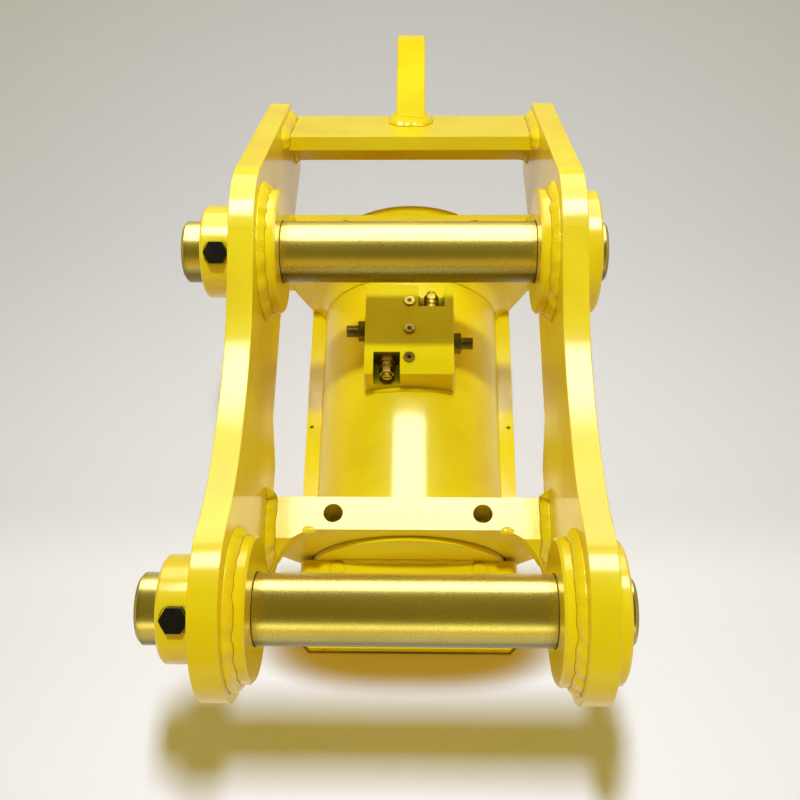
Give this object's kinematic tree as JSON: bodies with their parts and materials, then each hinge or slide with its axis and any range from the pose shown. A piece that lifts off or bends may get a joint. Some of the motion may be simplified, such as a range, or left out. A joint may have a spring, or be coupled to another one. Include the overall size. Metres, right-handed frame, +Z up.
{
  "type": "tilting quick coupler",
  "caption": "Yellow tilting quick coupler: a bracket with pins on a helical rotary actuator tilts over a flat base.",
  "frame": {"origin": "centre of the base's bolt pattern, in the plane of the foot pads' undersides", "axes": "+Z up, +Y along the tilt axis from the near pin towards the lifting eye, +X along the pins towards their plain ends"},
  "size_m": [0.548, 1.092, 0.6269],
  "materials": {
    "yellow_paint": "glossy yellow enamel over steel plate, lightly orange-peeled",
    "pin_steel": "turned steel with a yellow zinc plating, satin and finely speckled",
    "black_bolt": "black oxide, oiled",
    "painted_bolt": "steel bolts painted over with the body colour",
    "plated_screw": "yellow zinc plated socket screws",
    "brass_cartridge": "zinc plated cartridges with a brass tone",
    "fitting_steel": "dull bronze grey plating",
    "machined_steel": "machined steel, oiled",
    "bronze": "plain bearing bronze",
    "seal_rubber": "black nitrile rubber"
  },
  "bodies": {
    "base": {"base_plate": "yellow_paint", "foot_pads": "yellow_paint", "side_bars": "yellow_paint", "base_ribs": "yellow_paint", "near_end_plate": "yellow_paint", "far_end_plate": "yellow_paint", "near_flange_bolts": "painted_bolt", "far_flange_bolts": "painted_bolt", "near_end_disc": "yellow_paint", "far_end_disc": "yellow_paint", "near_shaft_screws": "painted_bolt", "far_shaft_screws": "painted_bolt", "shaft": "machined_steel"},
    "bracket": {"side_plate_left": "yellow_paint", "side_plate_right": "yellow_paint", "near_yoke": "yellow_paint", "far_yoke": "yellow_paint", "gussets": "yellow_paint", "tie_plate": "yellow_paint", "rear_web": "yellow_paint", "lifting_eye": "yellow_paint", "near_inner_bosses": "yellow_paint", "far_inner_bosses": "yellow_paint", "near_outer_boss": "yellow_paint", "far_outer_boss": "yellow_paint", "near_lock_collar": "yellow_paint", "far_lock_collar": "yellow_paint", "near_pin": "pin_steel", "far_pin": "pin_steel", "lock_bolts": "black_bolt", "lock_nuts": "black_bolt", "barrel": "yellow_paint", "near_gland": "machined_steel", "far_gland": "machined_steel", "gland_seals": "seal_rubber", "shaft_bushes": "bronze", "ring_gear": "machined_steel", "valve_block": "yellow_paint", "cartridges": "brass_cartridge", "block_screws": "plated_screw", "hose_fittings": "fitting_steel"},
    "piston": {"piston_sleeve": "machined_steel", "piston_seals": "seal_rubber"}
  },
  "joints": [
    {"name": "tilt", "type": "hinge", "parent": "base", "child": "bracket", "pos_m": [0, 0, 0.175], "axis": [0, 1, 0], "range_deg": [-45, 45]},
    {"name": "piston_stroke", "type": "slide", "parent": "base", "child": "piston", "axis": [0, 1, 0], "range_m": [-0.0501, 0.0501]}
  ],
  "couplings": [
    {"joint": "piston_stroke", "follows": "tilt", "m_per_rad": -0.063662}
  ]
}
